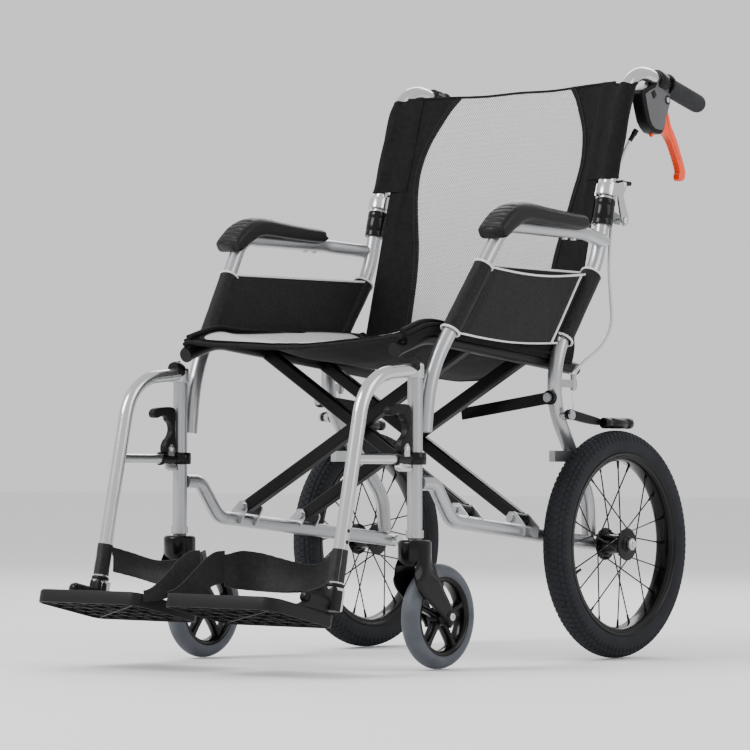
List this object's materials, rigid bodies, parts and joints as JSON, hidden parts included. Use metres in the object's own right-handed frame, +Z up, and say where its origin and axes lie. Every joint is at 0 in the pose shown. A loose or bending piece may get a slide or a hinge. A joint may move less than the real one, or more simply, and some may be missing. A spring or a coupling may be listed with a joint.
{
  "type": "transport wheelchair",
  "caption": "Folding transport wheelchair with a silver tube frame, sling seat, swing-away footrests, hand brakes and a fold-down back.",
  "frame": {"origin": "on the floor, midway across the width and the overall length", "axes": "+Z up, -Y to the front where the rider's feet are, +X to the rider's left"},
  "size_m": [0.568, 1.0588, 0.9239],
  "materials": {
    "frame_paint": "metallic silver grey paint",
    "hanger_silver": "bright silver paint",
    "cane_paint": "metallic silver grey paint",
    "brace_black": "satin black powder coat",
    "stay_steel": "satin black",
    "axle_steel": "zinc plated",
    "bolt_black": "black oxide",
    "brake_steel": "dark zinc",
    "spoke_black": "gloss black",
    "rim_black": "satin black",
    "hub_black": "satin black",
    "fork_black": "glossy moulded",
    "tyre_rubber": "matte, blocked tread",
    "caster_rubber": "smooth matte",
    "black_plastic": "fine grain",
    "brake_housing": "satin moulded",
    "brake_lever_orange": "glossy",
    "grip_rubber": "ribbed matte",
    "armrest_foam": "skinned foam",
    "guard_fabric": "coated cloth",
    "sling_fabric": "woven nylon",
    "strap_webbing": "wide webbing",
    "footplate_plastic": "textured moulded",
    "cable_sheath": "light grey sheath"
  },
  "bodies": {
    "frame_right": {"front_post_right": "frame_paint", "armrest_tube_right": "frame_paint", "back_post_right": "frame_paint", "lower_rail_right": "frame_paint", "armrest_pad_right": "armrest_foam", "side_guard_right": "guard_fabric", "rear_axle_right": "axle_steel", "brake_cable_right": "cable_sheath"},
    "frame_left": {"front_post_left": "frame_paint", "armrest_tube_left": "frame_paint", "back_post_left": "frame_paint", "lower_rail_left": "frame_paint", "armrest_pad_left": "armrest_foam", "side_guard_left": "guard_fabric", "rear_axle_left": "axle_steel", "brake_cable_left": "cable_sheath"},
    "brace_a": {"cross_brace_a": "brace_black", "seat_rail_left": "brace_black", "seat_sling": "sling_fabric"},
    "brace_b": {"cross_brace_b": "brace_black", "seat_rail_right": "brace_black"},
    "stay_left": {"stay_link_left": "stay_steel"},
    "cane_left": {"back_cane_left": "cane_paint", "push_grip_left": "grip_rubber", "brake_lever_body_left": "brake_housing"},
    "brake_lever_left": {"brake_lever_left": "brake_lever_orange"},
    "brake_arm_left": {"brake_arm_left": "brake_steel"},
    "hinge_latch_left": {"hinge_latch_left": "black_plastic"},
    "hanger_left": {"hanger_left": "hanger_silver", "heel_strap_left": "strap_webbing"},
    "hanger_latch_left": {"hanger_latch_left": "black_plastic"},
    "footplate_pin_left": {"footplate_pin_left": "bolt_black"},
    "footplate_left": {"footplate_left": "footplate_plastic"},
    "caster_fork_left": {"caster_fork_left": "fork_black"},
    "caster_wheel_left": {"caster_tyre_left": "caster_rubber", "caster_hub_left": "black_plastic"},
    "rear_wheel_left": {"rear_tyre_left": "tyre_rubber", "rear_rim_left": "rim_black", "rear_spokes_left": "spoke_black", "rear_hub_left": "hub_black"},
    "stay_right": {"stay_link_right": "stay_steel"},
    "cane_right": {"back_cane_right": "cane_paint", "push_grip_right": "grip_rubber", "brake_lever_body_right": "brake_housing", "back_sling": "sling_fabric"},
    "brake_lever_right": {"brake_lever_right": "brake_lever_orange"},
    "brake_arm_right": {"brake_arm_right": "brake_steel"},
    "hinge_latch_right": {"hinge_latch_right": "black_plastic"},
    "hanger_right": {"hanger_right": "hanger_silver", "heel_strap_right": "strap_webbing"},
    "hanger_latch_right": {"hanger_latch_right": "black_plastic"},
    "footplate_pin_right": {"footplate_pin_right": "bolt_black"},
    "footplate_right": {"footplate_right": "footplate_plastic"},
    "caster_fork_right": {"caster_fork_right": "fork_black"},
    "caster_wheel_right": {"caster_tyre_right": "caster_rubber", "caster_hub_right": "black_plastic"},
    "rear_wheel_right": {"rear_tyre_right": "tyre_rubber", "rear_rim_right": "rim_black", "rear_spokes_right": "spoke_black", "rear_hub_right": "hub_black"}
  },
  "joints": [
    {"name": "fold", "type": "hinge", "parent": "frame_right", "child": "brace_a", "pos_m": [-0.207, -0.0918, 0.23], "axis": [0, -0.995, 0.0995], "range_deg": [0, 40], "deforming": ["seat_sling", "back_sling"]},
    {"name": "cross", "type": "hinge", "parent": "brace_a", "child": "brace_b", "pos_m": [0, -0.07956, 0.35238], "axis": [0, -0.995, 0.0995], "range_deg": [-80, 0]},
    {"name": "side_left", "type": "hinge", "parent": "brace_b", "child": "frame_left", "pos_m": [0.207, -0.0918, 0.23], "axis": [0, -0.995, 0.0995], "range_deg": [0, 40]},
    {"name": "stay_swing_left", "type": "hinge", "parent": "frame_left", "child": "stay_left", "pos_m": [0.226, 0.1152, 0.398], "axis": [0, 1, 0], "range_deg": [0, 74]},
    {"name": "stay_swing_right", "type": "hinge", "parent": "frame_right", "child": "stay_right", "pos_m": [-0.226, 0.1152, 0.398], "axis": [0, -1, 0], "range_deg": [0, 74]},
    {"name": "cane_fold_right", "type": "hinge", "parent": "frame_right", "child": "cane_right", "pos_m": [-0.227, 0.2882, 0.676], "axis": [-1, 0, 0], "range_deg": [0, 110], "deforming": ["brake_cable_right"]},
    {"name": "cane_fold_left", "type": "hinge", "parent": "frame_left", "child": "cane_left", "pos_m": [0.227, 0.2882, 0.676], "axis": [-1, 0, 0], "range_deg": [0, 110], "deforming": ["brake_cable_left"]},
    {"name": "brake_squeeze_left", "type": "hinge", "parent": "cane_left", "child": "brake_lever_left", "pos_m": [0.222, 0.4182, 0.876], "axis": [1, 0, 0], "range_deg": [0, 24]},
    {"name": "brake_shoe_left", "type": "hinge", "parent": "frame_left", "child": "brake_arm_left", "pos_m": [0.2415, 0.1432, 0.372], "axis": [-1, 0, 0], "range_deg": [0, 1]},
    {"name": "hinge_release_left", "type": "hinge", "parent": "cane_left", "child": "hinge_latch_left", "pos_m": [0.227, 0.2882, 0.732], "axis": [1, 0, 0], "range_deg": [0, 40]},
    {"name": "hanger_swing_left", "type": "hinge", "parent": "frame_left", "child": "hanger_left", "pos_m": [0.228, -0.2148, 0.43], "axis": [0, 0, 1], "range_deg": [0, 90]},
    {"name": "hanger_release_left", "type": "hinge", "parent": "hanger_left", "child": "hanger_latch_left", "pos_m": [0.228, -0.2428, 0.318], "axis": [1, 0, 0], "range_deg": [0, 25]},
    {"name": "footplate_tuck_left", "type": "hinge", "parent": "hanger_left", "child": "footplate_pin_left", "pos_m": [0.222, -0.39536, 0.10028], "axis": [0, 0.9769, -0.2135], "range_deg": [0, 90], "deforming": ["heel_strap_left"]},
    {"name": "footplate_flip_left", "type": "hinge", "parent": "footplate_pin_left", "child": "footplate_left", "pos_m": [0.222, -0.39536, 0.10028], "axis": [0, -0.9769, 0.2135], "range_deg": [-90, 0]},
    {"name": "caster_swivel_left", "type": "hinge", "parent": "frame_left", "child": "caster_fork_left", "pos_m": [0.228, -0.2148, 0.19], "axis": [0, 0, 1], "continuous": true},
    {"name": "caster_spin_left", "type": "hinge", "parent": "caster_fork_left", "child": "caster_wheel_left", "pos_m": [0.228, -0.1598, 0.076], "axis": [1, 0, 0], "continuous": true},
    {"name": "rear_spin_left", "type": "hinge", "parent": "frame_left", "child": "rear_wheel_left", "pos_m": [0.247, 0.2602, 0.175], "axis": [1, 0, 0], "continuous": true},
    {"name": "brake_squeeze_right", "type": "hinge", "parent": "cane_right", "child": "brake_lever_right", "pos_m": [-0.222, 0.4182, 0.876], "axis": [1, 0, 0], "range_deg": [0, 24]},
    {"name": "brake_shoe_right", "type": "hinge", "parent": "frame_right", "child": "brake_arm_right", "pos_m": [-0.2415, 0.1432, 0.372], "axis": [-1, 0, 0], "range_deg": [0, 1]},
    {"name": "hinge_release_right", "type": "hinge", "parent": "cane_right", "child": "hinge_latch_right", "pos_m": [-0.227, 0.2882, 0.732], "axis": [1, 0, 0], "range_deg": [0, 40]},
    {"name": "hanger_swing_right", "type": "hinge", "parent": "frame_right", "child": "hanger_right", "pos_m": [-0.228, -0.2148, 0.43], "axis": [0, 0, -1], "range_deg": [0, 90]},
    {"name": "hanger_release_right", "type": "hinge", "parent": "hanger_right", "child": "hanger_latch_right", "pos_m": [-0.228, -0.2428, 0.318], "axis": [1, 0, 0], "range_deg": [0, 25]},
    {"name": "footplate_tuck_right", "type": "hinge", "parent": "hanger_right", "child": "footplate_pin_right", "pos_m": [-0.222, -0.39536, 0.10028], "axis": [0, -0.9769, 0.2135], "range_deg": [0, 90], "deforming": ["heel_strap_right"]},
    {"name": "footplate_flip_right", "type": "hinge", "parent": "footplate_pin_right", "child": "footplate_right", "pos_m": [-0.222, -0.39536, 0.10028], "axis": [0, 0.9769, -0.2135], "range_deg": [-90, 0]},
    {"name": "caster_swivel_right", "type": "hinge", "parent": "frame_right", "child": "caster_fork_right", "pos_m": [-0.228, -0.2148, 0.19], "axis": [0, 0, 1], "continuous": true},
    {"name": "caster_spin_right", "type": "hinge", "parent": "caster_fork_right", "child": "caster_wheel_right", "pos_m": [-0.228, -0.1598, 0.076], "axis": [1, 0, 0], "continuous": true},
    {"name": "rear_spin_right", "type": "hinge", "parent": "frame_right", "child": "rear_wheel_right", "pos_m": [-0.247, 0.2602, 0.175], "axis": [1, 0, 0], "continuous": true}
  ],
  "couplings": [
    {"joint": "cross", "follows": "fold", "ratio": -2},
    {"joint": "side_left", "follows": "fold", "ratio": 1},
    {"joint": "stay_swing_left", "follows": "fold", "ratio": 1.85},
    {"joint": "stay_swing_right", "follows": "fold", "ratio": 1.85},
    {"joint": "cane_fold_left", "follows": "cane_fold_right", "ratio": 1},
    {"joint": "brake_shoe_left", "follows": "brake_squeeze_left", "ratio": 0.0375},
    {"joint": "footplate_tuck_left", "follows": "fold", "ratio": 2.25},
    {"joint": "brake_shoe_right", "follows": "brake_squeeze_right", "ratio": 0.0375},
    {"joint": "footplate_tuck_right", "follows": "fold", "ratio": 2.25}
  ]
}
